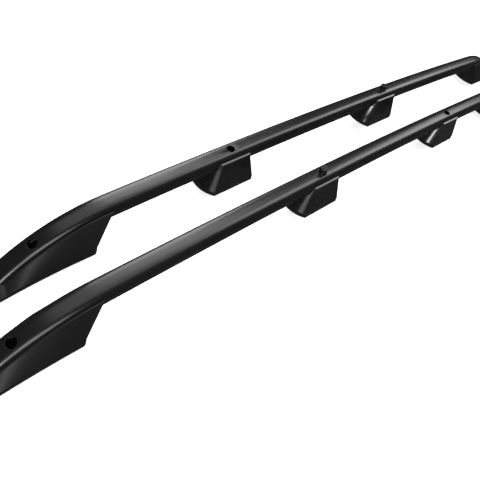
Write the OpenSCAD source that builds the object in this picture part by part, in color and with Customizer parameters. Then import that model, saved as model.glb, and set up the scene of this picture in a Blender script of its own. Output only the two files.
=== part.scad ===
// Roof side rail pair: two long bent rails, each standing on four moulded feet.
// X runs along the rails with +X to the front, Y is across the pair, Z is up.
// The origin is on the ground under the middle of the pair.
// All sizes are in millimetres.

/* [Rail] */
// Width across the rail extrusion
rail_w = 40; // [36:1:46]
// Height of the rail extrusion
rail_h = 26; // [24:1:30]
// Wall thickness of the rail extrusion
rail_wall = 2.4; // [2:0.2:3]
// Length along the rail between the inner corners of its two end feet
span_len = 1352; // [1240:4:1440]
// Camber radius of the rail top, which follows the roof
camber_r = 13200; // [11000:100:20000]
// Radius of the bend at each rail end, on the rail top
bend_r = 320; // [310:2:335]
// Height of the domed upper part of the rail section
dome_h = 15; // [13:0.5:17]
// Radius of the two lower corners of the rail section
low_corner_r = 4; // [3:0.5:5]

/* [Pair] */
// Distance between the centre lines of the two rails
pair_pitch = 137; // [110:1:1200]
// Offset of one rail along the other, as the two lie side by side
pair_stagger = 106; // [0:1:200]

/* [Middle feet] */
// Distance from the end foot corner to the first middle foot
foot_pitch_a = 285; // [240:1:300]
// Distance between the two middle feet
foot_pitch_b = 537; // [500:1:580]
// Height from the base of a middle foot to the rail top
mid_h = 75; // [72:1:84]
// Length of the flat side of a middle foot at its base
mid_base_l = 103.5; // [96:0.5:112]
// Width across a middle foot at its base
mid_base_w = 79.2; // [74:0.2:86]
// Length of the flat side of a middle foot at its rim
mid_rim_l = 70.8; // [64:0.2:78]
// Width across a middle foot at its rim, beside the rail
mid_rim_w = 45.2; // [44:0.2:50]
// Distance from the rail top down to the rim of a middle foot
mid_rim_drop = 11.6; // [10:0.2:16]
// Height of the upright skirt at the base of a middle foot
mid_skirt = 9; // [6:0.5:12]
// How far the curved nose stands out past the flat side at the base
mid_nose = 16.5; // [14:0.5:19]

/* [End feet] */
// Height from the base of an end foot to the rail top at its inner corner
end_h = 80; // [77:1:88]
// Width across an end foot at its base
end_base_w = 83; // [78:1:90]
// Width across an end foot at its rim, beside the rail
end_rim_w = 42.4; // [42:0.2:48]
// Length of an end foot from its inner corner to its toe
end_l = 232; // [226:1:238]
// How far the base corner is set back from the rim corner
end_setback = 39; // [30:1:42]
// Length of the flat part of the base, from the inner corner
end_flat_l = 60; // [54:1:68]
// Radius of the curved part of the base, which follows the roof
roof_end_r = 735; // [690:5:800]
// Distance from the rail top down to the rim of an end foot
end_rim_drop = 10.6; // [10:0.2:14]
// Height of the upright skirt at the base of an end foot
end_skirt = 6; // [6:0.5:14]
// Distance from the inner corner to the cut end of the rail
rail_end = 199; // [192:1:201]
// Length of the rounded toe
toe_l = 24; // [20:1:32]

/* [Fixings] */
// Diameter of the access holes in the rail top
access_d = 17.4; // [15:0.2:19]
// Distance from the inner corner to the access hole over an end foot
end_hole = 134; // [128:1:140]
// Clearance diameter for the roof bolt
bolt_d = 8.6; // [8.4:0.1:9.4]
// Outer diameter of the steel sleeve round the roof bolt
sleeve_d = 14; // [13:0.5:16]
// Diameter of the screws that hold each foot on the rail
screw_d = 6; // [5:0.5:6]
// Distance between the two screws of a middle foot
screw_pitch = 46; // [42:1:50]
// Thickness of the rubber gasket under each foot
gasket_t = 2.5; // [2:0.25:3]

/* [Hidden] */

// Colours as seen
rail_black = [0.13, 0.13, 0.14];
foot_black = [0.09, 0.09, 0.09];
rubber_black = [0.05, 0.05, 0.05];
steel_grey = [0.62, 0.63, 0.65];

// Fit clearances
rail_side_gap = 0.25;
bore_gap = 0.15;
cut_gap = 0.2;

// Wall of the moulded feet
foot_wall = 3.6;
// Solid seat of a foot under the rail
seat_t = 7;
// Floor of an end foot under the cut rail end
end_floor_t = 3;
// How far the gasket stands out past the foot
gasket_lip = 1.2;
// Fixing screw head and nut
screw_head_d = screw_d * 1.75;
screw_head_h = screw_d * 0.6;
screw_socket_d = screw_d * 0.75;
nut_w = screw_d * 2;
nut_h = screw_d * 0.8;
screw_clear_d = screw_d + 2 * bore_gap;
// Steel sleeve bore in the moulding
sleeve_bore_d = sleeve_d + 2 * bore_gap;
// Hole for the roof bolt in the lower wall of the rail
rail_bolt_d = bolt_d + 0.6;

// Exponent of the domed section
dome_n = 2.7;
// Points along the dome and along a lower corner, outside and in the bore
dome_steps = 14;
corner_steps = 3;
bore_dome_steps = 8;
bore_corner_steps = 1;

// Angles of the rail path, measured from the vertical
camber_a = asin(span_len / 2 / camber_r);
camber_drop = camber_r * (1 - cos(camber_a));
toe_drop = roof_end_r - sqrt(pow(roof_end_r, 2) - pow(end_l - end_flat_l, 2));
top_end_z = toe_drop + end_h;
top_mid_z = top_end_z + camber_drop;
// Length of the bend past the cut end of the rail
bend_spare = 14;
bend_reach = rail_end + bend_spare;
bend_a = asin(bend_reach / bend_r + sin(camber_a)) - camber_a;

// Places of the two middle feet along the rail, as angles of the camber
mid_a1 = asin((foot_pitch_a - span_len / 2) / camber_r);
mid_a2 = asin((foot_pitch_a + foot_pitch_b - span_len / 2) / camber_r);

// The rail is drawn in short straight steps, one of them over each middle foot
foot_step_half = 56;
foot_step_a = asin(foot_step_half / camber_r);
bend_steps = 13;
camber_breaks = [-camber_a, mid_a1 - foot_step_a, mid_a1 + foot_step_a, mid_a2 - foot_step_a, mid_a2 + foot_step_a, camber_a];
camber_counts = [2, 1, 4, 1, 4];

big = 2000;

// Points of the rail section, lateral first and then height below the top
function mix(a, b, t) = a + (b - a) * t;
function dome_pt(w, h, t) = [
  w / 2 * sign(cos(t)) * pow(abs(cos(t)), 2 / dome_n),
  h * (pow(abs(sin(t)), 2 / dome_n) - 1)
];
function corner_pt(cx, cz, r, a) = [cx + r * cos(a), cz + r * sin(a)];
function section(w, h, dome, r, nd, nc) = concat(
  [for (i = [0:nd]) dome_pt(w, dome, i * 180 / nd)],
  [for (i = [0:nc]) corner_pt(r - w / 2, r - h, r, 180 + i * 90 / nc)],
  [for (i = [0:nc]) corner_pt(w / 2 - r, r - h, r, 270 + i * 90 / nc)]
);
function lowered(pts, dz) = [for (p = pts) [p[0], p[1] - dz]];
rail_section = section(rail_w, rail_h, dome_h, low_corner_r, dome_steps, corner_steps);
bore_section = lowered(
  section(
    rail_w - 2 * rail_wall, rail_h - 2 * rail_wall,
    dome_h - rail_wall, low_corner_r - rail_wall / 2,
    bore_dome_steps, bore_corner_steps
  ),
  rail_wall
);
grip_section = section(
  rail_w + 2 * rail_side_gap, rail_h, dome_h, low_corner_r, dome_steps, corner_steps
);

// Point of the rail top at an angle of the path, from the middle of the rail top
function bend_centre(s) = [
  s * (camber_r - bend_r) * sin(camber_a),
  (camber_r - bend_r) * cos(camber_a) - camber_r
];
function path_pt(a) = abs(a) <= camber_a
  ? [camber_r * sin(a), camber_r * (cos(a) - 1)]
  : bend_centre(sign(a)) + bend_r * [sin(a), cos(a)];
function placed(pts, a) =
  let (o = path_pt(a))
  [for (p = pts) [o[0] + p[1] * sin(a), p[0], o[1] + p[1] * cos(a)]];
bend_angles = [for (i = [0:bend_steps]) camber_a + i * bend_a / bend_steps];
camber_angles = [
  for (j = [0:4], i = [0:camber_counts[j] - 1])
    mix(camber_breaks[j], camber_breaks[j + 1], i / camber_counts[j])
];
path_angles = concat(
  [for (i = [0:bend_steps - 1]) -bend_angles[bend_steps - i]],
  camber_angles,
  bend_angles
);
front_angles = concat([camber_angles[len(camber_angles) - 1]], bend_angles);

// Solid through a run of planar rings, in order
module loft(rings) {
  n = len(rings);
  m = len(rings[0]);
  function q(i, k) = m * i + k % m;
  polyhedron(
    points = [for (r = rings) each r],
    faces = concat(
      [[for (k = [0:m - 1]) k]],
      [
        for (i = [0:n - 2], k = [0:m - 1])
          [q(i, k), q(i + 1, k), q(i + 1, k + 1), q(i, k + 1)]
      ],
      [[for (k = [0:m - 1]) q(n - 1, m - 1 - k)]]
    ),
    convexity = 8
  );
}

// The rail path with a given section, from the rail's own middle
module rail_run(pts, angles) {
  translate([0, 0, top_mid_z])
    loft([for (a = angles) placed(pts, a)]);
}

// Puts a shape made at the front end of a rail on one end: 1 front, -1 rear
module at_end(s) {
  rotate([0, 0, s > 0 ? 0 : 180])
    translate([span_len / 2, 0, top_end_z])
      children();
}

// Puts a shape made under the rail top at a middle foot, on its straight step
foot_step_drop = camber_r * (1 - cos(foot_step_a));
module at_camber(a) {
  translate([path_pt(a)[0], 0, top_mid_z + path_pt(a)[1]])
    rotate([0, a, 0])
      translate([0, 0, -foot_step_drop])
        children();
}

// Puts a shape made square to the bend at a distance from the inner corner
function bend_angle(d) = asin(d / bend_r + sin(camber_a));
function top_z(d) = d < 0
  ? -d * tan(camber_a)
  : bend_r * (cos(bend_angle(d)) - cos(camber_a));
module at_bend(d) {
  translate([d, 0, top_z(d)])
    rotate([0, bend_angle(d), 0])
      children();
}

// Puts a shape on the middle of one straight step of the bend
function step_angle(k) = camber_a + (k + 0.5) * bend_a / bend_steps;
module at_step(k) {
  translate([-bend_r * sin(camber_a), 0, -bend_r * cos(camber_a)])
    rotate([0, step_angle(k), 0])
      translate([0, 0, bend_r * cos(bend_a / bend_steps / 2)])
        children();
}

// Height of the base of an end foot, below the rail top at the inner corner
function base_z(d) = d < end_flat_l
  ? -end_h
  : -end_h - (roof_end_r - sqrt(pow(roof_end_r, 2) - pow(d - end_flat_l, 2)));

// The roof surface under an end foot, raised by a height
module roof_solid(rise) {
  translate([end_flat_l, 0, -end_h - roof_end_r])
    rotate([90, 0, 0])
      cylinder(r = roof_end_r + rise, h = big, center = true, $fn = 720);
}

// Steps of the bend that take the two screws of an end foot
end_screws = [3, 5];

// The rail: a hollow extrusion, bent at both ends and cut to sit in the end feet
module rail() {
  color(rail_black)
    difference() {
      rail_run(rail_section, path_angles);
      rail_run(bore_section, path_angles);
      for (s = [-1, 1])
        at_end(s) {
          roof_solid(gasket_t + end_floor_t + cut_gap);
          translate([rail_end, -rail_w, -big / 2])
            cube([big / 4, 2 * rail_w, big]);
          at_bend(end_hole)
            access_hole();
          translate([end_hole, 0, top_z(end_hole) - rail_h / 2 - rail_h])
            cylinder(d = rail_bolt_d, h = rail_h, $fn = 48);
          for (k = end_screws)
            at_step(k)
              screw_hole();
        }
      for (a = [mid_a1, mid_a2])
        at_camber(a) {
          access_hole();
          translate([0, 0, -rail_h - 1])
            cylinder(d = rail_bolt_d, h = rail_wall + 2, $fn = 48);
          for (x = [-1, 1])
            translate([x * screw_pitch / 2, 0, 0])
              screw_hole();
        }
    }
}

// Access hole through the top wall of the rail
module access_hole() {
  translate([0, 0, -rail_h / 2])
    cylinder(d = access_d, h = rail_h, $fn = 64);
}

// Screw hole through the lower wall of the rail
module screw_hole() {
  translate([0, 0, -rail_h - 1])
    cylinder(d = screw_clear_d, h = rail_wall + 2, $fn = 32);
}

// Nose radius and centre of a middle foot, from its base corner and nose length
mid_cone_r = (pow(mid_base_w / 2, 2) + pow(mid_nose, 2)) / (2 * mid_nose);
mid_cone_x = mid_base_l / 2 + mid_nose - mid_cone_r;
mid_rim_h = mid_h - mid_rim_drop;
mid_cone_top = sqrt(pow(mid_rim_l / 2 - mid_cone_x, 2) + pow(mid_rim_w / 2, 2));
mid_lean = (mid_base_w - mid_rim_w) / 2 / (mid_rim_h - mid_skirt);
mid_taper = (mid_cone_r - mid_cone_top) / (mid_rim_h - mid_skirt);

// Outer form of a middle foot, cut smaller by an inset: an upright skirt, then a taper
module mid_form(inset, z0, z1) {
  zs = min(mid_skirt, z1);
  side0 = mid_base_w / 2 - inset;
  side1 = side0 - mid_lean * (z1 - zs);
  nose0 = mid_cone_r - inset;
  intersection() {
    rotate([90, 0, 90])
      translate([0, 0, -mid_base_l])
        linear_extrude(2 * mid_base_l)
          polygon([[-side0, z0], [side0, z0], [side0, zs], [side1, z1], [-side1, z1], [-side0, zs]]);
    for (s = [-1, 1])
      translate([s * mid_cone_x, 0, z0]) {
        cylinder(r = nose0, h = zs - z0, $fn = 96);
        if (z1 > zs)
          translate([0, 0, zs - z0])
            cylinder(r1 = nose0, r2 = nose0 - mid_taper * (z1 - zs), h = z1 - zs, $fn = 96);
      }
  }
}

// Middle foot, made with its base gasket face at zero height
mid_seat_h = mid_h - rail_h;
module mid_foot_core() {
  difference() {
    mid_form(0, gasket_t, mid_rim_h);
    difference() {
      mid_form(foot_wall, gasket_t - 1, mid_seat_h - seat_t);
      translate([0, 0, gasket_t])
        cylinder(d = sleeve_d + 2 * foot_wall, h = mid_h, $fn = 64);
      for (x = [-1, 1])
        translate([x * screw_pitch / 2, 0, gasket_t])
          cylinder(d = screw_head_d + 2 * foot_wall, h = mid_h, $fn = 48);
      translate([-mid_base_l, -foot_wall / 3, gasket_t + foot_wall])
        cube([2 * mid_base_l, foot_wall * 2 / 3, mid_h]);
      translate([-foot_wall / 3, -mid_base_w, gasket_t + foot_wall])
        cube([foot_wall * 2 / 3, 2 * mid_base_w, mid_h]);
    }
    rotate([90, 0, 90])
      translate([0, mid_h, -mid_base_l])
        linear_extrude(2 * mid_base_l)
          polygon(grip_section);
    cylinder(d = sleeve_bore_d, h = mid_h, $fn = 64);
    for (x = [-1, 1])
      translate([x * screw_pitch / 2, 0, 0]) {
        cylinder(d = screw_clear_d, h = mid_h, $fn = 32);
        cylinder(d = screw_head_d + 4 * bore_gap, h = mid_seat_h - seat_t, $fn = 48);
      }
  }
}

// Gasket under a middle foot, a little wider than the foot
module mid_gasket_core() {
  difference() {
    mid_form(-gasket_lip, 0, gasket_t);
    translate([0, 0, -1])
      cylinder(d = sleeve_d + 1, h = gasket_t + 2, $fn = 64);
  }
}

// Sleeve, screws and nuts of a middle foot
module sleeve_tube(h) {
  difference() {
    cylinder(d = sleeve_d, h = h, $fn = 64);
    translate([0, 0, -1])
      cylinder(d = bolt_d, h = h + 2, $fn = 64);
  }
}
module screw(seat) {
  reach = seat + rail_wall + nut_h + 1;
  difference() {
    union() {
      translate([0, 0, -screw_head_h])
        cylinder(d = screw_head_d, h = screw_head_h, $fn = 48);
      cylinder(d = screw_d, h = reach, $fn = 32);
    }
    translate([0, 0, -screw_head_h - 1])
      cylinder(d = screw_socket_d, h = screw_head_h * 0.7 + 1, $fn = 6);
  }
}
module square_nut() {
  difference() {
    translate([-nut_w / 2, -nut_w / 2, 0])
      cube([nut_w, nut_w, nut_h]);
    translate([0, 0, -1])
      cylinder(d = screw_d + bore_gap, h = nut_h + 2, $fn = 32);
  }
}

// Base and rim outline of an end foot, as stations from the nose to the toe
end_half = end_base_w / 2;
rim_half = end_rim_w / 2;
end_cone_r = mid_cone_r;
end_cone_a = asin(end_half / end_cone_r);
end_cone_top = mid_cone_top;
end_cone_top_a = asin(rim_half / end_cone_top);
nose_steps = 9;
side_steps = 16;
toe_steps = 9;
side_end = end_l - toe_l;
rim_side_end = side_end - 2;
rim_toe_l = toe_l - 7;
toe_lip = 3.6;
toe_tip = 5;
rim_fade = 9;
// Share of the side height that the skirt keeps where the foot runs out
skirt_share = 0.5;
function clamp01(t) = max(0, min(1, t));
function rim_off(d) = mix(end_rim_drop, 1, clamp01((d - rail_end + rim_fade) / rim_fade));
function rim_z(d) = d <= rail_end
  ? top_z(d) - rim_off(d) / cos(bend_angle(max(d, 0)))
  : mix(
      top_z(rail_end) - 1 / cos(bend_angle(rail_end)),
      base_z(end_l) + gasket_t + toe_lip,
      (d - rail_end) / (end_l - toe_tip - rail_end)
    );
function skirt_z(s) =
  base_z(s[0]) + gasket_t + min(end_skirt, skirt_share * (rim_z(s[2]) - base_z(s[0]) - gasket_t));
function nose_station(i) =
  let (t = mix(0.05, 1, i / nose_steps))
  let (ab = end_cone_a * t)
  let (ar = end_cone_top_a * t)
  let (xb = end_setback + end_cone_r * (cos(end_cone_a) - cos(ab)))
  let (xr = end_cone_top * (cos(end_cone_top_a) - cos(ar)))
  [xb, end_cone_r * sin(ab), xr, end_cone_top * sin(ar)];
function side_station(i) =
  let (t = i / side_steps)
  [mix(end_setback, side_end, t), end_half, mix(0, rim_side_end, t), rim_half];
function toe_station(i) =
  let (a = 87 * i / toe_steps)
  [side_end + toe_l * sin(a), end_half * cos(a), rim_side_end + rim_toe_l * sin(a), rim_half * cos(a)];
end_stations = concat(
  [for (i = [0:nose_steps - 1]) nose_station(i)],
  [for (i = [0:side_steps - 1]) side_station(i)],
  [for (i = [0:toe_steps]) toe_station(i)]
);

// Ruled solid through rings of one count, each a run of corners round the section
module ring_loft(rings) {
  n = len(rings);
  c = len(rings[0]);
  function q(i, k) = c * i + k;
  polyhedron(
    points = [for (r = rings) each r],
    faces = concat(
      [for (k = [1:c - 2]) [q(0, 0), q(0, k), q(0, k + 1)]],
      [
        for (i = [0:n - 2], k = [0:c - 1])
          let (m = (k + 1) % c)
            each [[q(i, k), q(i + 1, m), q(i, m)], [q(i, k), q(i + 1, k), q(i + 1, m)]]
      ],
      [for (k = [1:c - 2]) [q(n - 1, 0), q(n - 1, k + 1), q(n - 1, k)]]
    ),
    convexity = 6
  );
}
function end_ring(s) = [
  [s[0], -s[1], base_z(s[0]) + gasket_t],
  [s[0], s[1], base_z(s[0]) + gasket_t],
  [s[0], s[1], skirt_z(s)],
  [s[2], s[3], rim_z(s[2])],
  [s[2], -s[3], rim_z(s[2])],
  [s[0], -s[1], skirt_z(s)]
];
module end_form() {
  ring_loft([for (s = end_stations) end_ring(s)]);
}

// Gasket of an end foot, following the curved base
function spread(s, g) = [
  s[0] + (s[0] < end_setback ? -g : s[0] > side_end ? g : 0),
  s[1] + g
];
function gasket_ring(s) =
  let (p = spread(s, gasket_lip))
  [
    [p[0], -p[1], base_z(s[0])],
    [p[0], p[1], base_z(s[0])],
    [p[0], p[1], base_z(s[0]) + gasket_t],
    [p[0], -p[1], base_z(s[0]) + gasket_t]
  ];
module end_gasket_core() {
  difference() {
    ring_loft([for (s = end_stations) gasket_ring(s)]);
    translate([end_hole, 0, -big / 2])
      cylinder(d = sleeve_d + 1, h = big, $fn = 64);
  }
}

// Hollow of an end foot, open at its base
hollow_x0 = end_setback + 14;
hollow_x1 = end_hole + 18;
hollow_half = end_half - 11;
hollow_lean = 0.45;
hollow_top = end_h * 0.7;
module end_hollow() {
  intersection() {
    rotate([90, 0, 90])
      translate([0, -end_h - toe_drop, hollow_x0])
        linear_extrude(hollow_x1 - hollow_x0)
          polygon([
            [-hollow_half, -1], [hollow_half, -1],
            [hollow_half - hollow_lean * hollow_top, hollow_top],
            [hollow_lean * hollow_top - hollow_half, hollow_top]
          ]);
    translate([-bend_r * sin(camber_a), 0, -bend_r * cos(camber_a)])
      rotate([90, 0, 0])
        cylinder(r = bend_r - rail_h - seat_t, h = end_base_w, center = true, $fn = 240);
  }
}

module end_foot_core() {
  difference() {
    end_form();
    difference() {
      end_hollow();
      translate([end_hole, 0, -end_h - toe_drop])
        cylinder(d = sleeve_d + 2 * foot_wall, h = end_h, $fn = 64);
      for (k = end_screws)
        at_step(k)
          translate([0, 0, -end_h])
            cylinder(d = screw_head_d + 2 * foot_wall, h = end_h, $fn = 48);
      translate([0, -foot_wall / 3, -end_h - toe_drop + 2 * foot_wall])
        cube([end_l, foot_wall * 2 / 3, end_h]);
    }
    difference() {
      translate([-span_len / 2, 0, -top_end_z])
        rail_run(grip_section, front_angles);
      roof_solid(gasket_t + end_floor_t);
      translate([rail_end + cut_gap, -rail_w, -big / 2])
        cube([big / 4, 2 * rail_w, big]);
    }
    translate([end_hole, 0, -end_h - big / 2])
      cylinder(d = sleeve_bore_d, h = big / 2 + end_h, $fn = 64);
    for (k = end_screws)
      at_step(k) {
        translate([0, 0, -end_h])
          cylinder(d = screw_clear_d, h = end_h, $fn = 32);
        translate([0, 0, -rail_h - seat_t - end_h])
          cylinder(d = screw_head_d + 4 * bore_gap, h = end_h, $fn = 48);
      }
  }
}

// Height of the sleeve of an end foot, from its base to just under the rail
sleeve_end_gap = 5;
sleeve_end_h = top_z(end_hole) - rail_h / cos(bend_angle(end_hole)) - base_z(end_hole) - gasket_t - sleeve_end_gap;

// The pieces at a local place on one rail: 0 and 3 are the ends, 1 and 2 the middle
module foot_at(i) {
  color(foot_black)
    if (i == 0 || i == 3)
      at_end(i == 3 ? 1 : -1)
        end_foot_core();
    else
      at_camber(i == 1 ? mid_a1 : mid_a2)
        translate([0, 0, -mid_h])
          mid_foot_core();
}
module gasket_at(i) {
  color(rubber_black)
    if (i == 0 || i == 3)
      at_end(i == 3 ? 1 : -1)
        end_gasket_core();
    else
      at_camber(i == 1 ? mid_a1 : mid_a2)
        translate([0, 0, -mid_h])
          mid_gasket_core();
}
module sleeve_at(i) {
  color(steel_grey)
    if (i == 0 || i == 3)
      at_end(i == 3 ? 1 : -1)
        translate([end_hole, 0, base_z(end_hole) + gasket_t])
          sleeve_tube(sleeve_end_h);
    else
      at_camber(i == 1 ? mid_a1 : mid_a2)
        translate([0, 0, gasket_t - mid_h])
          sleeve_tube(mid_seat_h - gasket_t);
}
module screws_at(i) {
  color(steel_grey)
    if (i == 0 || i == 3)
      at_end(i == 3 ? 1 : -1)
        for (k = end_screws)
          at_step(k)
            translate([0, 0, -rail_h - seat_t])
              screw(seat_t);
    else
      at_camber(i == 1 ? mid_a1 : mid_a2)
        for (x = [-1, 1])
          translate([x * screw_pitch / 2, 0, -rail_h - seat_t])
            screw(seat_t);
}
module nuts_at(i) {
  color(steel_grey)
    if (i == 0 || i == 3)
      at_end(i == 3 ? 1 : -1)
        for (k = end_screws)
          at_step(k)
            translate([0, 0, rail_wall - rail_h])
              square_nut();
    else
      at_camber(i == 1 ? mid_a1 : mid_a2)
        for (x = [-1, 1])
          translate([x * screw_pitch / 2, 0, rail_wall - rail_h])
            square_nut();
}

// Left rail lies on +Y, and the right rail is the same part turned end for end
module left_side() {
  translate([pair_stagger / 2, pair_pitch / 2, 0])
    children();
}
module right_side() {
  rotate([0, 0, 180])
    left_side()
      children();
}

left_side() rail();  // left_rail
left_side() foot_at(0);  // left_foot_rear_end
left_side() foot_at(1);  // left_foot_rear_mid
left_side() foot_at(2);  // left_foot_front_mid
left_side() foot_at(3);  // left_foot_front_end
left_side() gasket_at(0);  // left_gasket_rear_end
left_side() gasket_at(1);  // left_gasket_rear_mid
left_side() gasket_at(2);  // left_gasket_front_mid
left_side() gasket_at(3);  // left_gasket_front_end
left_side() sleeve_at(0);  // left_sleeve_rear_end
left_side() sleeve_at(1);  // left_sleeve_rear_mid
left_side() sleeve_at(2);  // left_sleeve_front_mid
left_side() sleeve_at(3);  // left_sleeve_front_end
left_side() screws_at(0);  // left_screws_rear_end
left_side() screws_at(1);  // left_screws_rear_mid
left_side() screws_at(2);  // left_screws_front_mid
left_side() screws_at(3);  // left_screws_front_end
left_side() nuts_at(0);  // left_nuts_rear_end
left_side() nuts_at(1);  // left_nuts_rear_mid
left_side() nuts_at(2);  // left_nuts_front_mid
left_side() nuts_at(3);  // left_nuts_front_end
right_side() rail();  // right_rail
right_side() foot_at(3);  // right_foot_rear_end
right_side() foot_at(2);  // right_foot_rear_mid
right_side() foot_at(1);  // right_foot_front_mid
right_side() foot_at(0);  // right_foot_front_end
right_side() gasket_at(3);  // right_gasket_rear_end
right_side() gasket_at(2);  // right_gasket_rear_mid
right_side() gasket_at(1);  // right_gasket_front_mid
right_side() gasket_at(0);  // right_gasket_front_end
right_side() sleeve_at(3);  // right_sleeve_rear_end
right_side() sleeve_at(2);  // right_sleeve_rear_mid
right_side() sleeve_at(1);  // right_sleeve_front_mid
right_side() sleeve_at(0);  // right_sleeve_front_end
right_side() screws_at(3);  // right_screws_rear_end
right_side() screws_at(2);  // right_screws_rear_mid
right_side() screws_at(1);  // right_screws_front_mid
right_side() screws_at(0);  // right_screws_front_end
right_side() nuts_at(3);  // right_nuts_rear_end
right_side() nuts_at(2);  // right_nuts_rear_mid
right_side() nuts_at(1);  // right_nuts_front_mid
right_side() nuts_at(0);  // right_nuts_front_end
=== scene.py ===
# %% [markdown]
# # A pair of roof side rails
# On the real object a hollow aluminium bar, coated satin black, is bent down at both ends and stands on
# four moulded feet. This lesson builds the bar, the feet and the gaskets as clean, rounded meshes round a
# fixed CAD frame, gives every surface its own finish, and lights the pair as a studio would.
# The CAD frame stays where it is: every new piece is made at its real place, in metres.

import math

import bmesh
import bpy
import numpy as np
from mathutils import Matrix, Vector


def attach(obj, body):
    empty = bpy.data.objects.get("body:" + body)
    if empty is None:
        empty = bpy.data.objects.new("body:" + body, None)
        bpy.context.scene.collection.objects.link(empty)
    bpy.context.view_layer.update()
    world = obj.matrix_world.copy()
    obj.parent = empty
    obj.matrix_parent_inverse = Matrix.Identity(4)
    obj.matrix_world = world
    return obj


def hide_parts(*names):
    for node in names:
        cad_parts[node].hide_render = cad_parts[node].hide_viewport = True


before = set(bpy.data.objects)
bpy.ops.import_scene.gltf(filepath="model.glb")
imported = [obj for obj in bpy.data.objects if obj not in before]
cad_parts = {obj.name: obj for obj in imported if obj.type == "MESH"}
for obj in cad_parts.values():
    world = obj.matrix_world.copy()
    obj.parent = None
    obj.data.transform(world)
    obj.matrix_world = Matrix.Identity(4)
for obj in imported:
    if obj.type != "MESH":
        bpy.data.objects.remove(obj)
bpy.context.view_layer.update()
print("CAD nodes:", len(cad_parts))

# %% [markdown]
# ## The sizes
# A maker starts from the same drawing as the toolmaker. These are the sizes of the bar, of its path and of
# the feet, in metres, so a piece lands where its CAD solid is without any fitting by eye.

# %% Sizes of the bar and the feet
MM = 0.001
RAIL_W, RAIL_H, RAIL_WALL = 40 * MM, 26 * MM, 2.4 * MM
DOME_H, LOW_CORNER_R, DOME_POWER = 15 * MM, 4 * MM, 2.7
SPAN, CAMBER_R, BEND_R = 1352 * MM, 13200 * MM, 320 * MM
PITCH, STAGGER = 137 * MM, 106 * MM
FOOT_A, FOOT_B = 285 * MM, 537 * MM
MID_H, MID_BASE_L, MID_BASE_W = 75 * MM, 103.5 * MM, 79.2 * MM
MID_RIM_L, MID_NOSE, MID_SKIRT = 74.4 * MM, 16.5 * MM, 9 * MM
MID_LIP_W, MID_LIP_DROP, MID_BACK_W, MID_BACK_DROP = 23.3 * MM, 9.9 * MM, 21.6 * MM, 14 * MM
END_H, END_BASE_W, END_L, END_SETBACK = 80 * MM, 83 * MM, 232 * MM, 39 * MM
END_LIP_W, END_LIP_DROP, END_BACK_W, END_BACK_DROP = 22.2 * MM, 8.4 * MM, 20.9 * MM, 12 * MM
END_FLAT, ROOF_R, END_SKIRT, RIM_NOSE_R = 60 * MM, 735 * MM, 6 * MM, 32.2 * MM
RAIL_END, TOE_L = 199 * MM, 18 * MM
ACCESS_D, END_HOLE, BOLT_D, SLEEVE_D = 17.4 * MM, 134 * MM, 8.6 * MM, 14 * MM
SCREW_D, SCREW_PITCH, GASKET_T = 6 * MM, 46 * MM, 2.5 * MM
SIDE_GAP, GASKET_LIP = 0.25 * MM, 1.2 * MM

CAMBER_A = math.asin(SPAN / 2 / CAMBER_R)
TOE_DROP = ROOF_R - math.sqrt(ROOF_R**2 - (END_L - END_FLAT) ** 2)
TOP_END_Z = TOE_DROP + END_H
TOP_MID_Z = TOP_END_Z + CAMBER_R * (1 - math.cos(CAMBER_A))
BEND_A = math.asin((RAIL_END + 14 * MM) / BEND_R + math.sin(CAMBER_A)) - CAMBER_A
MID_ANGLES = [math.asin((u - SPAN / 2) / CAMBER_R) for u in (FOOT_A, FOOT_A + FOOT_B)]
STEP_A = math.asin(56 * MM / CAMBER_R)
print(f"rail top stands {TOP_MID_Z / MM:.1f} mm high, each end bends down {math.degrees(BEND_A):.1f} degrees")

# %% [markdown]
# ## Small tools
# An operator acts on whatever is selected, so every step begins by selecting nothing and then one thing.
# A boolean modifier that is applied at once works like a saw or a drill: the tool piece is used up.

# %% Selecting, placing and cutting
def pick(obj):
    """Selects one object alone and makes it the active one."""
    if bpy.context.object and bpy.context.object.mode != "OBJECT":
        bpy.ops.object.mode_set(mode="OBJECT")
    bpy.ops.object.select_all(action="DESELECT")
    obj.select_set(True)
    bpy.context.view_layer.objects.active = obj
    return obj


def apply_modifier(obj, kind, **settings):
    """Adds a modifier, sets it and applies it."""
    pick(obj)
    bpy.ops.object.modifier_add(type=kind)
    modifier = obj.modifiers[-1]
    for name, value in settings.items():
        setattr(modifier, name, value)
    bpy.ops.object.modifier_apply(modifier=modifier.name)
    return obj


def cut(obj, tool, operation="DIFFERENCE"):
    """Cuts obj with a tool piece, which is then thrown away."""
    apply_modifier(obj, "BOOLEAN", operation=operation, solver="EXACT", object=tool)
    bpy.data.objects.remove(tool)
    return obj


def settle(obj):
    """Moves an object's place into its mesh, so that the object itself sits at the origin."""
    pick(obj)
    bpy.ops.object.transform_apply(location=True, rotation=True, scale=True)
    return obj


def twin(obj, name, matrix):
    """A copy with its own mesh, moved by a matrix."""
    copy = obj.copy()
    copy.data = obj.data.copy()
    copy.name = copy.data.name = name
    bpy.context.scene.collection.objects.link(copy)
    copy.data.transform(matrix)
    return copy


def drill(diameter, length, matrix, sides=96):
    """A round cutter whose axis is local Z, centred on the matrix's place."""
    bpy.ops.object.select_all(action="DESELECT")
    bpy.ops.mesh.primitive_cylinder_add(vertices=sides, radius=diameter / 2, depth=length)
    tool = bpy.context.object
    tool.data.transform(matrix)
    return tool


# %% [markdown]
# ## Drawing a body ring by ring
# A bar or a long foot is a row of outlines, like the ribs of a boat. A flat outline is added as a circle
# primitive, and in edit mode its face is extruded once for each further outline and put in place. That
# keeps every ring where the drawing says, which a bend modifier would only come near.

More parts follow.
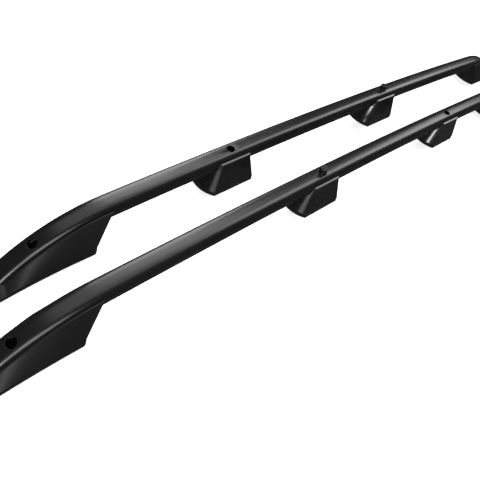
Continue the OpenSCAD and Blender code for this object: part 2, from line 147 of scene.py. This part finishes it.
# %% Ring sweep
def ring_sweep(name, rings):
    """A closed body through outlines of equal point count, each a list of (x, y, z)."""
    bpy.ops.object.select_all(action="DESELECT")
    bpy.ops.mesh.primitive_circle_add(vertices=len(rings[0]), radius=0.01, fill_type="NGON")
    body = bpy.context.object
    body.name = body.data.name = name
    for vertex, point in zip(body.data.vertices, rings[0]):
        vertex.co = point
    bpy.ops.object.mode_set(mode="EDIT")
    bpy.ops.mesh.select_mode(type="FACE")
    bpy.ops.mesh.select_all(action="SELECT")
    order = None
    for ring in rings[1:]:
        bpy.ops.mesh.extrude_region_move()
        mesh = bmesh.from_edit_mesh(body.data)
        face = next(f for f in mesh.faces if f.select)
        corners = list(face.verts)
        if order is None:
            order = [min(range(len(ring)), key=lambda k: (v.co - Vector(rings[0][k])).length) for v in corners]
        for vertex, k in zip(corners, order):
            vertex.co = ring[k]
        bmesh.update_edit_mesh(body.data)
    bpy.ops.mesh.select_all(action="SELECT")
    bpy.ops.mesh.normals_make_consistent(inside=False)
    bpy.ops.object.mode_set(mode="OBJECT")
    return body


# %% [markdown]
# ## Finishing edges
# No moulded or extruded edge is truly sharp: it has a small radius that catches the light, and that thin
# bright line is most of what makes a black part readable. The bevel modifier rounds every edge that turns
# by more than a limit, and smooth shading by angle keeps the flats flat.

# %% Rounded edges
def round_edges(obj, radius, limit=32, segments=3, flat_normals=True):
    """Rounds each edge sharper than the limit, in degrees, then shades the piece smoothly."""
    apply_modifier(
        obj, "BEVEL", width=radius, segments=segments, limit_method="ANGLE",
        angle_limit=math.radians(limit), use_clamp_overlap=True, miter_outer="MITER_ARC",
    )
    smooth(obj)
    if flat_normals:
        apply_modifier(obj, "WEIGHTED_NORMAL", keep_sharp=True, weight=100)
    return obj


def smooth(obj, limit=30):
    pick(obj)
    bpy.ops.object.shade_smooth_by_angle(angle=math.radians(limit))
    return obj


def weld(obj, distance=1e-6):
    """Merges points that lie on each other."""
    pick(obj)
    bpy.ops.object.mode_set(mode="EDIT")
    bpy.ops.mesh.select_all(action="SELECT")
    bpy.ops.mesh.remove_doubles(threshold=distance)
    bpy.ops.object.mode_set(mode="OBJECT")
    return obj


# %% [markdown]
# ## The path and the section of the bar
# Seen from the side, the bar is a very flat arc with a tighter arc at each end. Seen end on, it is a dome
# on a flat foot: a superellipse gives the broad, slightly flattened crown that the highlights show.

# %% Path and section
def dome_point(w, h, t):
    c, s = math.cos(t), math.sin(t)
    return (w / 2 * math.copysign(abs(c) ** (2 / DOME_POWER), c), h * (abs(s) ** (2 / DOME_POWER) - 1))


def section(w, h, dome, r, dome_steps=44, corner_steps=6):
    """The bar's outline: (across, height below the top)."""
    points = [dome_point(w, dome, i * math.pi / dome_steps) for i in range(dome_steps + 1)]
    for cx, start in ((r - w / 2, math.pi), (w / 2 - r, 1.5 * math.pi)):
        for i in range(corner_steps + 1):
            a = start + i * math.pi / 2 / corner_steps
            points.append((cx + r * math.cos(a), r - h + r * math.sin(a)))
    return points


def path_point(a):
    """Place on the rail top at a path angle, from the middle of the rail top."""
    if abs(a) <= CAMBER_A:
        return CAMBER_R * math.sin(a), CAMBER_R * (math.cos(a) - 1)
    side = math.copysign(1, a)
    x = side * (CAMBER_R - BEND_R) * math.sin(CAMBER_A) + BEND_R * math.sin(a)
    return x, (CAMBER_R - BEND_R) * math.cos(CAMBER_A) - CAMBER_R + BEND_R * math.cos(a)


def ring_at(outline, a):
    """An outline stood square to the path."""
    x, z = path_point(a)
    return [(x + p[1] * math.sin(a), p[0], TOP_MID_Z + z + p[1] * math.cos(a)) for p in outline]


def bend_angle(d):
    return math.asin(d / BEND_R + math.sin(CAMBER_A))


def top_z(d):
    """Height of the rail top over the inner corner of an end foot, at a distance past it."""
    if d < 0:
        return -d * math.tan(CAMBER_A)
    return BEND_R * (math.cos(bend_angle(d)) - math.cos(CAMBER_A))


CAMBER_RINGS, BEND_RINGS = 44, 40
camber_angles = [CAMBER_A * (2 * i / CAMBER_RINGS - 1) for i in range(CAMBER_RINGS + 1)]
bend_angles = [CAMBER_A + BEND_A * (i + 1) / BEND_RINGS for i in range(BEND_RINGS)]
path_angles = [-a for a in reversed(bend_angles)] + camber_angles + bend_angles
outer_outline = section(RAIL_W, RAIL_H, DOME_H, LOW_CORNER_R)
inner_outline = [
    (y, z - RAIL_WALL)
    for y, z in section(
        RAIL_W - 2 * RAIL_WALL, RAIL_H - 2 * RAIL_WALL, DOME_H - RAIL_WALL, LOW_CORNER_R - RAIL_WALL / 2,
        dome_steps=24, corner_steps=3,
    )
]
print("outlines along the bar:", len(path_angles), "with", len(outer_outline), "points each")


# %% Places of the ends and of the middle feet
def shift(x, y, z):
    return Matrix.Translation((x, y, z))


def turn(angle, axis):
    return Matrix.Rotation(angle, 4, axis)


def end_place(side):
    """From the inner corner of an end foot to the bar's own middle: side 1 is the front, -1 the rear."""
    return (Matrix() if side > 0 else turn(math.pi, "Z")) @ shift(SPAN / 2, 0, TOP_END_Z)


def mid_place(a):
    """Under the rail top at a middle foot."""
    x, z = path_point(a)
    drop = CAMBER_R * (1 - math.cos(STEP_A))
    return shift(x, 0, TOP_MID_Z + z) @ turn(a, "Y") @ shift(0, 0, -drop)


def bend_place(d):
    return shift(d, 0, top_z(d)) @ turn(bend_angle(d), "Y")


SIDES = {"left": shift(STAGGER / 2, PITCH / 2, 0)}
SIDES["right"] = turn(math.pi, "Z") @ SIDES["left"]
ROOF = shift(END_FLAT, 0, -END_H - ROOF_R)


def roof_tool(rise, place):
    """A huge drum that stands for the vehicle's roof under an end foot."""
    tool = drill(2 * (ROOF_R + rise), 0.3, place @ ROOF @ turn(math.pi / 2, "X"), sides=720)
    return tool


# %% [markdown]
# ## The bar
# The real bar is extruded hollow, cut, drilled and bent. Here a solid bar is swept through its outlines and
# a thinner one is cut out of it. The round access holes in the crown, through which the roof bolts drop,
# are then drilled square to the surface, and the mouth of each hole gets the small radius that the punch
# and the coating leave on it.

# %% Solid bar with its ends cut to sit in the end feet
END_FLOOR_T, CUT_GAP = 3 * MM, 0.2 * MM


def bisect(obj, place, normal, fill=True):
    """Takes off all of obj that lies beyond a plane."""
    pick(obj)
    bpy.ops.object.mode_set(mode="EDIT")
    bpy.ops.mesh.select_all(action="SELECT")
    bpy.ops.mesh.bisect(plane_co=place, plane_no=normal, use_fill=fill, clear_outer=True)
    bpy.ops.object.mode_set(mode="OBJECT")
    return obj


bar = ring_sweep("rail_bar", [ring_at(outer_outline, a) for a in path_angles])
for side in (1, -1):
    cut(bar, roof_tool(GASKET_T + END_FLOOR_T + CUT_GAP, end_place(side)))
    bisect(bar, (side * (SPAN / 2 + RAIL_END), 0, 0), (side, 0, 0))
print("solid bar:", len(bar.data.polygons), "faces")

# %% Hollow it out
cut(bar, ring_sweep("channel", [ring_at(inner_outline, a) for a in path_angles]))
print("hollow bar:", len(bar.data.polygons), "faces")

# %% Drilled holes
hole_places = [end_place(side) @ bend_place(END_HOLE) for side in (1, -1)]
hole_places += [mid_place(a) for a in MID_ANGLES]
for place in hole_places:
    cut(bar, drill(ACCESS_D, RAIL_H, place))
for side in (1, -1):
    over = end_place(side) @ shift(END_HOLE, 0, top_z(END_HOLE) - RAIL_H)
    cut(bar, drill(BOLT_D + 0.6 * MM, RAIL_H, over, sides=48))
for a in MID_ANGLES:
    cut(bar, drill(BOLT_D + 0.6 * MM, RAIL_WALL * 2, mid_place(a) @ shift(0, 0, -RAIL_H), sides=48))


def soften_mouth(obj, place, radius, width):
    """Bevels the upper edge of a drilled hole, picked by its distance from the hole's axis."""
    pick(obj)
    bpy.ops.object.mode_set(mode="EDIT")
    bpy.ops.mesh.select_mode(type="EDGE")
    bpy.ops.mesh.select_all(action="DESELECT")
    mesh = bmesh.from_edit_mesh(obj.data)
    back = place.inverted()
    for edge in mesh.edges:
        ends = [back @ v.co for v in edge.verts]
        on_mouth = all(abs(math.hypot(p.x, p.y) - radius) < 0.02 * MM and abs(p.z) < RAIL_WALL / 2 for p in ends)
        if on_mouth and len(edge.link_faces) == 2 and edge.calc_face_angle() > math.radians(50):
            edge.select = True
    chosen = sum(e.select for e in mesh.edges)
    bmesh.update_edit_mesh(obj.data)
    bpy.ops.mesh.bevel(offset=width, segments=3, affect="EDGES", clamp_overlap=False)
    bpy.ops.object.mode_set(mode="OBJECT")
    return chosen


for place in hole_places:
    print("mouth edges rounded:", soften_mouth(bar, place, ACCESS_D / 2, 0.5 * MM))
weld(bar, 2e-6)
smooth(bar, 35)

# %% [markdown]
# ## A middle foot
# The foot is a moulded block: an upright skirt, two flat sides that lean in above it, and a round nose at
# each end. A nose is a cylinder whose upper face is extruded and shrunk into a cone. Two of them
# joined end to end give a long oval, and a bisect with a leaned plane takes off each side, so the crease
# between side and nose comes out by itself. The saddle for the bar and the bolt's bore are cut last.

# %% Middle foot block
NOSE_R = ((MID_BASE_W / 2) ** 2 + MID_NOSE**2) / (2 * MID_NOSE)
NOSE_X = MID_BASE_L / 2 + MID_NOSE - NOSE_R
LIP_Z, BACK_Z = MID_H - MID_LIP_DROP, MID_H - MID_BACK_DROP
LEDGE_FALL = math.radians(12)
NOSE_TOP_R = math.hypot(MID_RIM_L / 2 - NOSE_X, MID_LIP_W)
LEANS = {
    -1: (MID_BASE_W / 2 - MID_LIP_W) / (LIP_Z - MID_SKIRT),
    1: (MID_BASE_W / 2 - MID_BACK_W) / (BACK_Z - MID_SKIRT),
}
TAPER = (NOSE_R - NOSE_TOP_R) / (LIP_Z - MID_SKIRT)


def nosed_block(name, grow, low, high):
    """The foot's outer form between two heights above the base, grown by a margin."""
    drums = []
    skirt = min(high, MID_SKIRT)
    for side in (1, -1):
        bpy.ops.object.select_all(action="DESELECT")
        bpy.ops.mesh.primitive_cylinder_add(
            vertices=240, radius=NOSE_R + grow, depth=skirt - low, location=(side * NOSE_X, 0, (low + skirt) / 2)
        )
        drum = settle(bpy.context.object)
        if high > skirt:
            bpy.ops.object.mode_set(mode="EDIT")
            bpy.ops.mesh.select_mode(type="FACE")
            bpy.ops.mesh.select_all(action="DESELECT")
            mesh = bmesh.from_edit_mesh(drum.data)
            next(f for f in mesh.faces if f.normal.z > 0.9).select = True
            bmesh.update_edit_mesh(drum.data)
            bpy.ops.mesh.extrude_region_move(TRANSFORM_OT_translate={"value": (0, 0, high - skirt)})
            squeeze = 1 - TAPER * (high - skirt) / (NOSE_R + grow)
            bpy.ops.transform.resize(value=(squeeze, squeeze, 1), center_override=(side * NOSE_X, 0, high))
            bpy.ops.object.mode_set(mode="OBJECT")
        drums.append(drum)
    block = cut(drums[0], drums[1], "UNION")
    block.name = block.data.name = name
    for side in (1, -1):
        wall = side * (MID_BASE_W / 2 + grow)
        bisect(block, (0, wall, 0), (0, side, 0))
        if high > skirt:
            bisect(block, (0, wall, skirt), (0, side, LEANS[side]))
    return weld(block, 2e-6)


def straight_bar(outline, top, length):
    """A straight length of the bar's outline along X, with its crown at a height."""
    return ring_sweep("saddle_tool", [[(x, y, top + z) for y, z in outline] for x in (-length / 2, length / 2)])


grip_outline = section(RAIL_W + 2 * SIDE_GAP, RAIL_H, DOME_H, LOW_CORNER_R)
mid_foot = nosed_block("mid_foot", 0, GASKET_T, LIP_Z + MID_LIP_W * math.tan(LEDGE_FALL))
bisect(mid_foot, (0, -MID_LIP_W, LIP_Z), (0, -math.sin(LEDGE_FALL), math.cos(LEDGE_FALL)))
bpy.ops.object.select_all(action="DESELECT")
bpy.ops.mesh.primitive_cube_add(size=1, location=(0, MID_BASE_W / 2, BACK_Z + MID_H / 2))
bpy.ops.transform.resize(value=(2 * MID_BASE_L, MID_BASE_W, MID_H), center_override=(0, MID_BASE_W / 2, BACK_Z + MID_H / 2))
cut(mid_foot, settle(bpy.context.object))
cut(mid_foot, straight_bar(grip_outline, MID_H, 3 * MID_BASE_L))
cut(mid_foot, drill(SLEEVE_D + 0.3 * MM, 3 * MID_H, Matrix(), sides=64))
round_edges(mid_foot, 0.4 * MM, limit=13)
mid_gasket = round_edges(nosed_block("mid_gasket", GASKET_LIP, 0, GASKET_T), 0.7 * MM)
print("middle foot:", len(mid_foot.data.polygons), "faces; gasket:", len(mid_gasket.data.polygons))

# %% [markdown]
# ## An end foot
# The long foot under each bend is cut back at its inner end, follows the roof along its base and the bar
# along its rim, and runs out into a rounded toe. Each station along it has two base corners, two where
# the upright skirt ends and two at the rim, so the ring sweep from before draws the whole outer form.

# %% Stations of the end foot
NOSE_STEPS, SIDE_STEPS, TOE_STEPS = 18, 40, 18
END_NOSE_A = math.asin(END_BASE_W / 2 / NOSE_R)
RIM_NOSE_A = math.asin(END_LIP_W / RIM_NOSE_R)
SIDE_END = END_L - TOE_L
RIM_FADE, TOE_LIP, SKIRT_SHARE = 9 * MM, 3.6 * MM, 0.5
DRAW_START, DRAW_END, DRAW_SHARE = 80 * MM, 185 * MM, 0.51


def mix(a, b, t):
    return a + (b - a) * t


def base_z(d):
    """Height of the base of an end foot, below the rail top at its inner corner."""
    if d < END_FLAT:
        return -END_H
    return -END_H - (ROOF_R - math.sqrt(ROOF_R**2 - (d - END_FLAT) ** 2))


def rim_z(d, full_drop):
    """Height of the rim: it follows the bar, rises to it near its cut end, then falls to the toe."""
    if d <= RAIL_END:
        drop = mix(full_drop, 1 * MM, max(0, min(1, (d - RAIL_END + RIM_FADE) / RIM_FADE)))
        return top_z(d) - drop / math.cos(bend_angle(max(d, 0)))
    start = top_z(RAIL_END) - 1 * MM / math.cos(bend_angle(RAIL_END))
    return mix(start, base_z(END_L) + GASKET_T + TOE_LIP, (d - RAIL_END) / (END_L - 5 * MM - RAIL_END))


def end_stations():
    """(base x, base half width, rim x, rim half width) from the nose to the toe."""
    stations = []
    for i in range(NOSE_STEPS):
        t = mix(0.03, 1, i / NOSE_STEPS)
        ab, ar = END_NOSE_A * t, RIM_NOSE_A * t
        stations.append((
            END_SETBACK + NOSE_R * (math.cos(END_NOSE_A) - math.cos(ab)), NOSE_R * math.sin(ab),
            RIM_NOSE_R * (math.cos(RIM_NOSE_A) - math.cos(ar)), RIM_NOSE_R * math.sin(ar),
        ))
    for i in range(SIDE_STEPS):
        t = i / SIDE_STEPS
        stations.append((mix(END_SETBACK, SIDE_END, t), END_BASE_W / 2, mix(0, SIDE_END - 2 * MM, t), END_LIP_W))
    for i in range(TOE_STEPS + 1):
        a = math.radians(87 * i / TOE_STEPS)
        stations.append((
            SIDE_END + TOE_L * math.sin(a), END_BASE_W / 2 * math.cos(a),
            SIDE_END - 2 * MM + (TOE_L - 7 * MM) * math.sin(a), END_LIP_W * math.cos(a),
        ))
    return stations


def draw_in(d):
    """How far the back of an end foot has drawn in under the bar, 0 at its inner part and 1 at its toe."""
    return max(0, min(1, (d - DRAW_START) / (DRAW_END - DRAW_START)))


def foot_ring(s):
    low, lip, back = base_z(s[0]) + GASKET_T, rim_z(s[2], END_LIP_DROP), rim_z(s[2], END_BACK_DROP)
    skirt = low + min(END_SKIRT, SKIRT_SHARE * (lip - low))
    back_skirt = low + min(END_SKIRT, SKIRT_SHARE * (back - low))
    back_y = s[1] * mix(1, DRAW_SHARE, draw_in(s[0]))
    back_rim = min(s[3] * END_BACK_W / END_LIP_W, back_y)
    return [
        (s[0], -s[1], low), (s[0], back_y, low), (s[0], back_y, back_skirt),
        (s[2], back_rim, back), (s[2], -s[3], lip), (s[0], -s[1], skirt),
    ]


def gasket_ring(s):
    x = s[0] + (-GASKET_LIP if s[0] < END_SETBACK else GASKET_LIP if s[0] > SIDE_END else 0)
    y, low = s[1] + GASKET_LIP, base_z(s[0])
    back_y = s[1] * mix(1, DRAW_SHARE, draw_in(s[0])) + GASKET_LIP
    return [(x, -y, low), (x, back_y, low), (x, back_y, low + GASKET_T), (x, -y, low + GASKET_T)]


# %% End foot and its gasket
stations = end_stations()
end_foot = ring_sweep("end_foot", [foot_ring(s) for s in stations])
grip_angles = [CAMBER_A - 0.004] + [CAMBER_A] + bend_angles
grip = ring_sweep("grip_tool", [ring_at(grip_outline, a) for a in grip_angles])
grip.data.transform(end_place(1).inverted())
cut(grip, roof_tool(GASKET_T + END_FLOOR_T, Matrix()))
bisect(grip, (RAIL_END + CUT_GAP, 0, 0), (1, 0, 0))
cut(end_foot, grip)
cut(end_foot, drill(SLEEVE_D + 0.3 * MM, 0.4, shift(END_HOLE, 0, 0), sides=64))
weld(end_foot, 2e-6)
round_edges(end_foot, 0.4 * MM, limit=13, flat_normals=False)
end_gasket = round_edges(ring_sweep("end_gasket", [gasket_ring(s) for s in stations]), 0.7 * MM)
print("end foot:", len(end_foot.data.polygons), "faces; gasket:", len(end_gasket.data.polygons))

# %% [markdown]
# ## Copies in their places
# Each rail has an end foot at both ends and two middle feet. Every copy gets its own mesh with its place in
# it, rides on the one body and stands for its CAD solid. The right rail is the left one turned end for end.

# %% Place the copies
FOOT_PLACES = {
    "rear_end": end_place(-1), "rear_mid": mid_place(MID_ANGLES[0]) @ shift(0, 0, -MID_H),
    "front_mid": mid_place(MID_ANGLES[1]) @ shift(0, 0, -MID_H), "front_end": end_place(1),
}
TURNED = {"rear_end": "front_end", "rear_mid": "front_mid", "front_mid": "rear_mid", "front_end": "rear_end"}
shown = {"bar": [], "mid_foot": [], "end_foot": [], "gasket": []}


def place_copy(source, kind, name, node, matrix):
    """Sets a copy in its place, with the foot's higher lip on the same side of both rails."""
    lip_ahead = (matrix.to_3x3() @ Vector((0, -1, 0))).y < 0
    if kind != "bar" and not lip_ahead:
        same_both_ways = "_mid_" in name
        matrix = matrix @ (turn(math.pi, "Z") if same_both_ways else Matrix.Scale(-1, 4, (0, 1, 0)))
    piece = twin(source, name, matrix)
    if matrix.determinant() < 0:
        piece.data.flip_normals()
    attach(piece, "root")
    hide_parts(node)
    shown[kind].append(piece)


for rail, side_matrix in SIDES.items():
    place_copy(bar, "bar", f"{rail}_rail_bar", f"{rail}_rail", side_matrix)
    for where, matrix in FOOT_PLACES.items():
        label = where if rail == "left" else TURNED[where]
        kind = "mid" if "mid" in where else "end"
        foot, gasket = (mid_foot, mid_gasket) if kind == "mid" else (end_foot, end_gasket)
        place = side_matrix @ matrix
        place_copy(foot, f"{kind}_foot", f"{rail}_{label}_foot", f"{rail}_foot_{label}", place)
        place_copy(gasket, "gasket", f"{rail}_{label}_gasket", f"{rail}_gasket_{label}", place)
for pattern in (bar, mid_foot, mid_gasket, end_foot, end_gasket):
    bpy.data.objects.remove(pattern)
print({kind: len(pieces) for kind, pieces in shown.items()})

# %% [markdown]
# ## Shader maths
# A material is a small sum over the surface. Wrapping a socket in a class lets that sum be written as
# Python: `0.3 + grain * 0.1` adds the Math nodes by itself.

# %% Sockets that add up
class Value:
    """A number that varies over the surface."""

    def __init__(self, finish, socket):
        self.finish, self.socket = finish, socket

    def _math(self, operation, first, second):
        return self.finish.add("ShaderNodeMath", {"operation": operation}, {0: first, 1: second})

    def __add__(self, other):
        return self._math("ADD", self, other)

    __radd__ = __add__

    def __mul__(self, other):
        return self._math("MULTIPLY", self, other)

    __rmul__ = __mul__

    def __sub__(self, other):
        return self._math("SUBTRACT", self, other)

    def __rsub__(self, other):
        return self._math("SUBTRACT", other, self)

    def over(self, edge):
        return self._math("GREATER_THAN", self, edge)


class Finish:
    """A material with one shader, and a method that adds any other node."""

    def __init__(self, name, **constants):
        self.material = bpy.data.materials.new(name)
        self.material.use_nodes = True
        self.tree = self.material.node_tree
        self.tree.nodes.clear()
        self.shader = self.tree.nodes.new("ShaderNodeBsdfPrincipled")
        output = self.tree.nodes.new("ShaderNodeOutputMaterial")
        self.tree.links.new(self.shader.outputs[0], output.inputs[0])
        for socket, value in constants.items():
            self.shader.inputs[socket.replace("_", " ")].default_value = value
        self.place = self.add("ShaderNodeTexCoord", output="Object")

    def add(self, kind, settings=None, inputs=None, output=0):
        node = self.tree.nodes.new(kind)
        for name, value in (settings or {}).items():
            if name == "stops":
                for stop, (position, level) in zip(node.color_ramp.elements, value):
                    stop.position, stop.color = position, (level, level, level, 1)
            else:
                setattr(node, name, value)
        for name, value in (inputs or {}).items():
            self.feed(node.inputs[name], value)
        return Value(self, node.outputs[output])

    def feed(self, socket, value):
        if isinstance(value, Value):
            self.tree.links.new(value.socket, socket)
        else:
            socket.default_value = value

    def noise(self, scale, detail=2.0, roughness=0.5, stretch=None):
        vector = self.place
        if stretch:
            vector = self.add("ShaderNodeMapping", inputs={"Vector": vector, "Scale": stretch})
        return self.add(
            "ShaderNodeTexNoise",
            inputs={"Vector": vector, "Scale": scale, "Detail": detail, "Roughness": roughness},
        )

    def ramp(self, value, low, high):
        return self.add("ShaderNodeValToRGB", {"stops": [(low, 0), (high, 1)]}, {"Fac": value})

    def blend(self, factor, first, second):
        return self.add("ShaderNodeMixRGB", inputs={"Fac": factor, "Color1": first, "Color2": second})

    def set(self, socket, value):
        self.feed(self.shader.inputs[socket], value)

    def bump(self, height, distance, strength=1.0):
        self.set("Normal", self.add(
            "ShaderNodeBump", inputs={"Height": height, "Distance": distance, "Strength": strength}
        ))


# %% [markdown]
# ## Satin powder coat
# The bar is dipped in black powder and baked. It shows as a soft, even sheen with a very fine orange peel,
# slightly uneven gloss, and a few specks of dust under a strong light.

# %% Rail coat
coat = Finish("satin_black_coat", Specular_IOR_Level=0.5)
peel = coat.noise(900, 3, 0.6)
cloud = coat.noise(9, 3, 0.5)
speck = coat.ramp(coat.noise(1500, 1, 0.4), 0.76, 0.82)
tone = coat.blend(coat.ramp(cloud, 0.35, 0.65), (0.0055, 0.0055, 0.006, 1), (0.0075, 0.0075, 0.008, 1))
coat.set("Base Color", coat.blend(speck * 0.5, tone, (0.05, 0.05, 0.05, 1)))
coat.set("Roughness", 0.22 + cloud * 0.05 + peel * 0.04)
coat.bump(peel, 0.000013)

# %% [markdown]
# ## Moulded plastic
# The feet are glass-filled nylon from a spark-eroded mould, so they carry a fine leathery grain that breaks
# the highlights up and makes them read duller than the bar.

# %% Foot plastic
def moulding(name, roughness, shine):
    plastic = Finish(name, Specular_IOR_Level=shine)
    grain = plastic.noise(1400, 2, 0.6)
    patch = plastic.noise(14, 3, 0.5)
    shade = plastic.blend(plastic.ramp(patch, 0.3, 0.7), (0.007, 0.007, 0.007, 1), (0.010, 0.010, 0.0104, 1))
    plastic.set("Base Color", plastic.blend(plastic.ramp(grain, 0.5, 0.75) * 0.25, shade, (0.02, 0.02, 0.02, 1)))
    plastic.set("Roughness", roughness + grain * 0.06 + patch * 0.03)
    plastic.bump(grain, 0.000008)
    return plastic


mid_moulding = moulding("fine_grained_black_moulding", 0.12, 0.5)
end_moulding = moulding("coarse_grained_black_moulding", 0.42, 0.25)

# %% [markdown]
# ## Rubber and plated steel
# The gaskets are dense black rubber, dull with a trace of bloom. The sleeves, screws and nuts inside are
# zinc plated: bright, a little cloudy, with fine lathe marks.

# %% Gasket rubber
rubber = Finish("gasket_rubber", Specular_IOR_Level=0.4)
bloom = rubber.noise(60, 4, 0.6)
rubber.set("Base Color", rubber.blend(rubber.ramp(bloom, 0.45, 0.8), (0.009, 0.009, 0.009, 1), (0.016, 0.016, 0.0155, 1)))
rubber.set("Roughness", 0.55 + bloom * 0.2)
rubber.bump(rubber.noise(2200, 2, 0.5), 0.00004)


# %% Zinc plate
def zinc(name, tint):
    plate = Finish(name, Metallic=1.0)
    mist = plate.noise(180, 4, 0.6)
    lathe = plate.noise(2400, 1, 0.5, stretch=(0.05, 0.05, 1.0))
    plate.set("Base Color", plate.blend(plate.ramp(mist, 0.3, 0.7), tint, tuple(c * 0.82 for c in tint[:3]) + (1,)))
    plate.set("Roughness", 0.24 + mist * 0.18)
    plate.bump(lathe, 0.00002)
    return plate.material


sleeve_steel = zinc("turned_zinc_steel", (0.60, 0.61, 0.63, 1))
fixing_steel = zinc("plated_fastener_steel", (0.55, 0.56, 0.58, 1))
for kind, finish in (("bar", coat), ("mid_foot", mid_moulding), ("end_foot", end_moulding), ("gasket", rubber)):
    for piece in shown[kind]:
        piece.data.materials.clear()
        piece.data.materials.append(finish.material)
for name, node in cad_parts.items():
    steel = sleeve_steel if "_sleeve_" in name else fixing_steel
    if "_sleeve_" in name or "_screws_" in name or "_nuts_" in name:
        for slot in node.material_slots:
            slot.material = steel
print("finishes:", [m.name for m in bpy.data.materials if m.users][:12])

# %% [markdown]
# ## Floor and light
# A white floor would mirror itself in the dark sides, so it is lit but kept out of the reflections. One
# broad panel overhead lights the floor, and long soft boxes beside the rails draw the lines of light that
# run along a bar: a long light is needed for a long highlight.

# %% Floor
bpy.ops.object.select_all(action="DESELECT")
bpy.ops.mesh.primitive_plane_add(size=60, location=(0, 0, 0))
floor = settle(bpy.context.object)
floor.name = "floor"
floor_finish = Finish(
    "pale_floor", Roughness=0.9, Base_Color=(0.9, 0.9, 0.9, 1), Specular_IOR_Level=0.0,
    Emission_Color=(1, 1, 1, 1), Emission_Strength=0.85,
)
floor.data.materials.append(floor_finish.material)
floor.visible_glossy = False
floor.visible_shadow = False


# %% Lights
def soft_box(name, place, target, size, radiance, ray):
    """A square-on panel with an even brightness, seen only by the rays of one kind."""
    lamp = bpy.data.lights.new(name, "AREA")
    lamp.shape = "RECTANGLE"
    lamp.size, lamp.size_y = size
    lamp.energy = radiance * math.pi * size[0] * size[1]
    obj = bpy.data.objects.new(name, lamp)
    bpy.context.scene.collection.objects.link(obj)
    obj.location = place
    obj.rotation_euler = (Vector(place) - Vector(target)).to_track_quat("Z", "Y").to_euler()
    obj.visible_glossy = ray == "glossy"
    obj.visible_diffuse = ray == "diffuse"
    print(f"{name}: {lamp.energy:.0f} W over {size[0]} by {size[1]} m")
    return obj


def far_off(heading, height, distance=7):
    """A place at a heading and height, in degrees, seen from the middle of the part."""
    h, e = math.radians(heading), math.radians(height)
    return distance * math.cos(e) * math.cos(h), distance * math.cos(e) * math.sin(h), distance * math.sin(e)


BACKDROP, STUDIO_DARK = 1.0, 0.06
centre = (0, 0, 0.05)
soft_box("ceiling", (0, 0, 5.2), centre, (9, 9), 2.3, "diffuse")
soft_box("overhead_panel", (0.25, 1.65, 4.6), (0.25, 1.65, 0), (4.9, 5.3), 1.1, "glossy")
soft_box("far_panel", far_off(4.5, 42), centre, (2.1, 5.2), 4.2, "glossy")
soft_box("upper_panel", far_off(46, 56), centre, (2.5, 2.2), 3.0, "glossy")
soft_box("side_panel", far_off(64, 31), centre, (2.5, 4.4), 5.7, "glossy")
soft_box("near_strip", far_off(-143, 14), centre, (1.3, 1.6), 20, "glossy")
soft_box("near_glow", far_off(-143, 5), centre, (2.2, 3.0), 1.9, "glossy")
soft_box("near_panel", far_off(-122, 32), centre, (4.6, 2.9), 5.5, "glossy")
world = bpy.data.worlds.new("studio")
bpy.context.scene.world = world
world.use_nodes = True
nodes, links = world.node_tree.nodes, world.node_tree.links
rays = nodes.new("ShaderNodeLightPath")
level = nodes.new("ShaderNodeMath")
level.operation = "MULTIPLY_ADD"
level.inputs[1].default_value, level.inputs[2].default_value = BACKDROP - STUDIO_DARK, STUDIO_DARK
links.new(rays.outputs["Is Camera Ray"], level.inputs[0])
links.new(level.outputs[0], nodes["Background"].inputs["Strength"])
nodes["Background"].inputs["Color"].default_value = (1, 1, 1, 1)

# %% [markdown]
# ## Camera
# The photograph was taken from above the near end, rolled by about 18 degrees, with a normal lens. Its place
# was worked out from the spacing of the feet and holes.

# %% Camera
camera_data = bpy.data.cameras.new("photo_camera")
camera = bpy.data.objects.new("photo_camera", camera_data)
bpy.context.scene.collection.objects.link(camera)
camera_data.sensor_fit = "HORIZONTAL"
camera_data.sensor_width = 36.0
camera_data.lens = 40.494
camera_data.clip_end = 200
right, up, forward = Vector((0.7099, -0.6320, 0.3108)), Vector((0.3765, 0.7135, 0.5909)), Vector((0.5952, 0.3025, -0.7445))
axes = Matrix((right.normalized(), up.normalized(), -forward.normalized())).transposed()
camera.matrix_world = Matrix.Translation((-1.02978, -0.39548, 0.80654)) @ axes.to_4x4()
bpy.context.scene.camera = camera
bpy.context.scene.view_settings.view_transform = "Standard"
bpy.context.scene.view_settings.look = "None"
